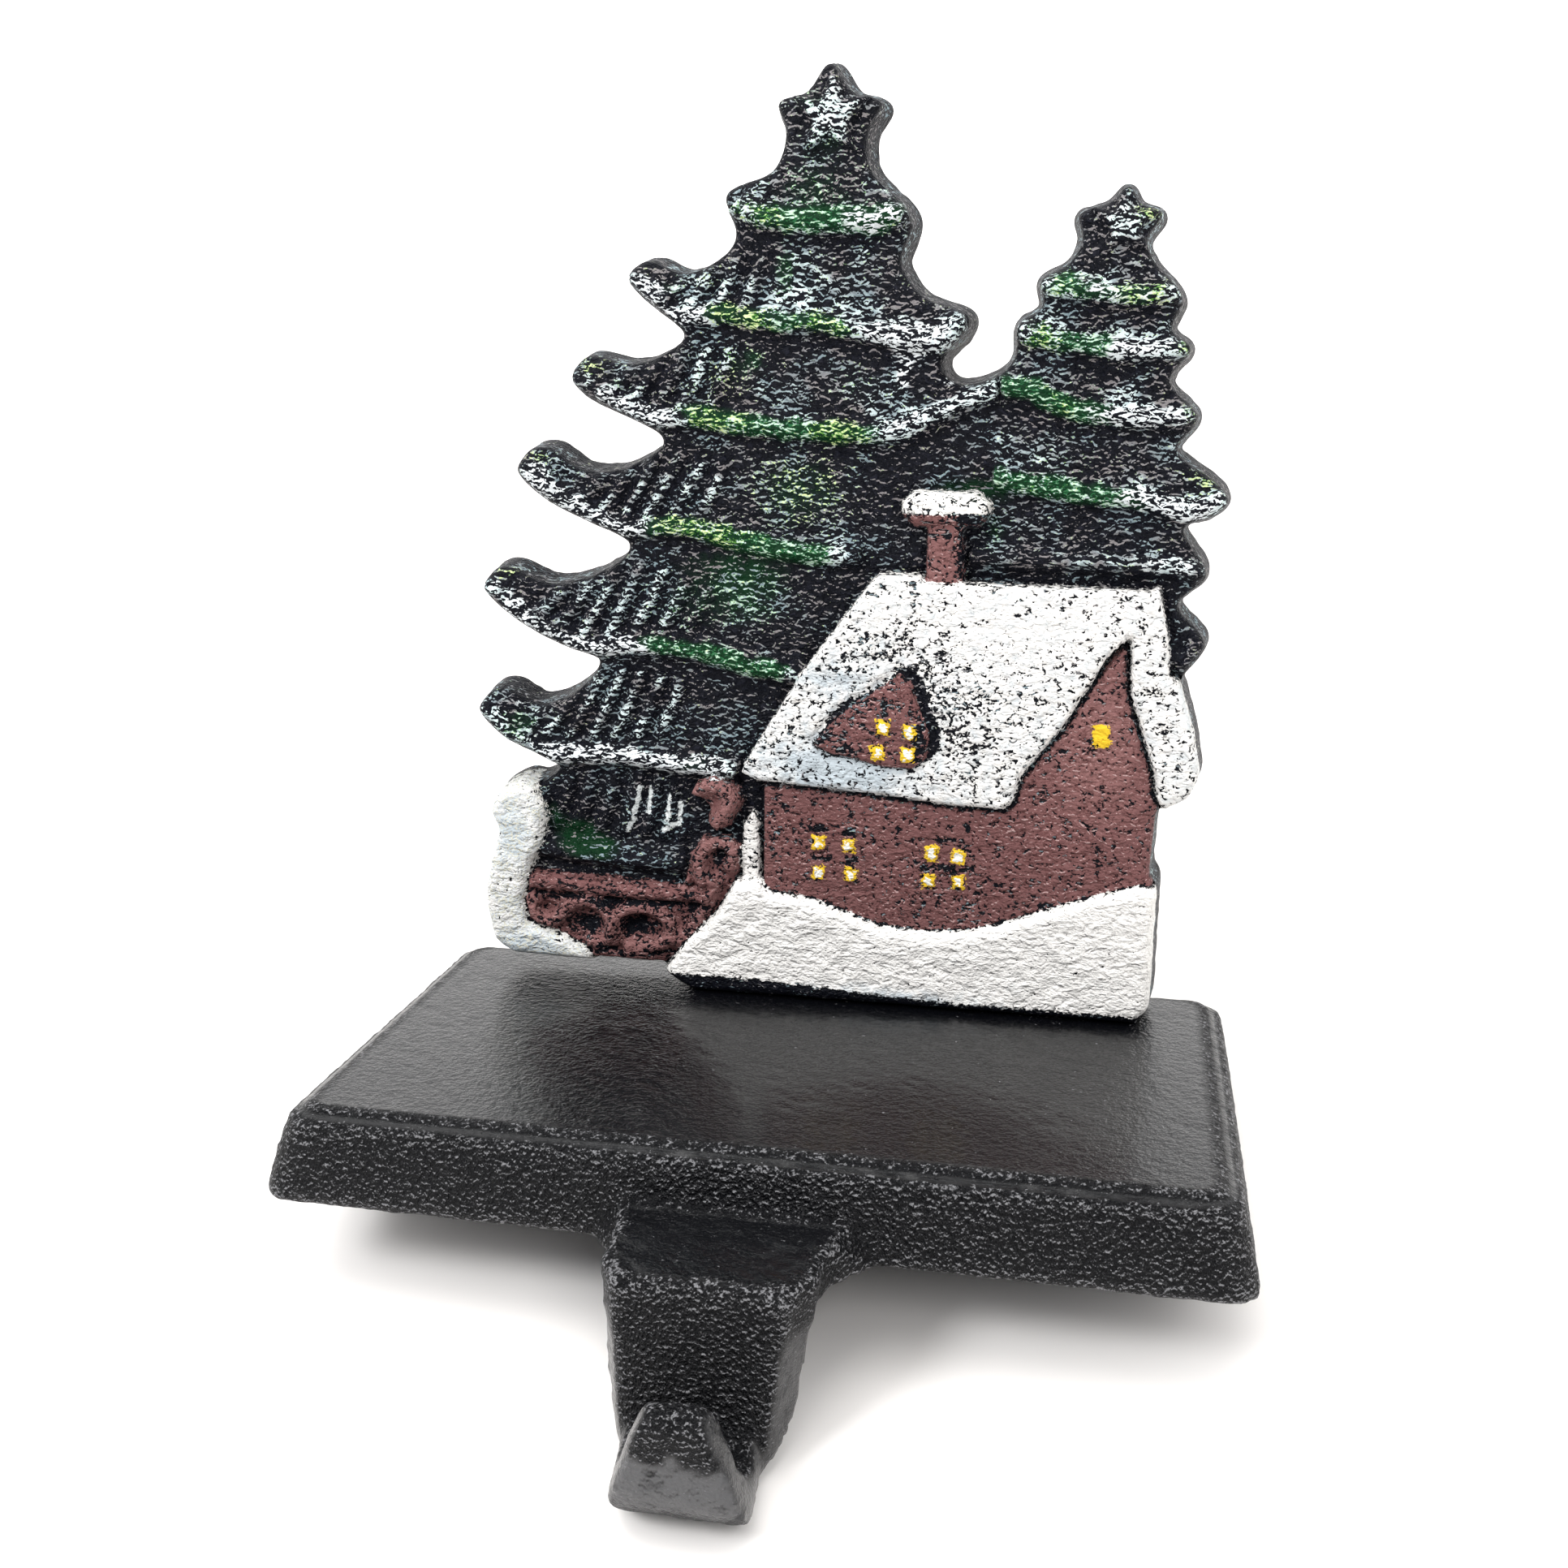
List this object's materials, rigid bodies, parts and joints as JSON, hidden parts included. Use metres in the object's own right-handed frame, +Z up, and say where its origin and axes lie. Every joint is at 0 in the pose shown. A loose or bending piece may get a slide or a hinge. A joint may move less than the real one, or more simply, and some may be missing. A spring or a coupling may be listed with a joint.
{
  "type": "mantel stocking holder",
  "caption": "Cast iron mantel stocking holder: tray plate with a front hook and an upright relief plaque of a snowy cottage, fir trees and a sleigh.",
  "frame": {"origin": "underside of the plate's rim in the middle of the front wall, where the hook's tongue leaves", "axes": "+Z up, -Y to the front (the stocking side), +X to the right seen from the front"},
  "size_m": [0.127, 0.1017, 0.1669],
  "materials": {
    "black_enamel": "satin black enamel over sand cast iron",
    "painted_relief": "black paint with dry brushed white, green, brown and yellow colours",
    "screw_steel": "zinc plated steel"
  },
  "bodies": {
    "root": {"base_and_hook": "black_enamel", "scene_plaque": "painted_relief", "plaque_screws": "screw_steel"}
  },
  "joints": []
}
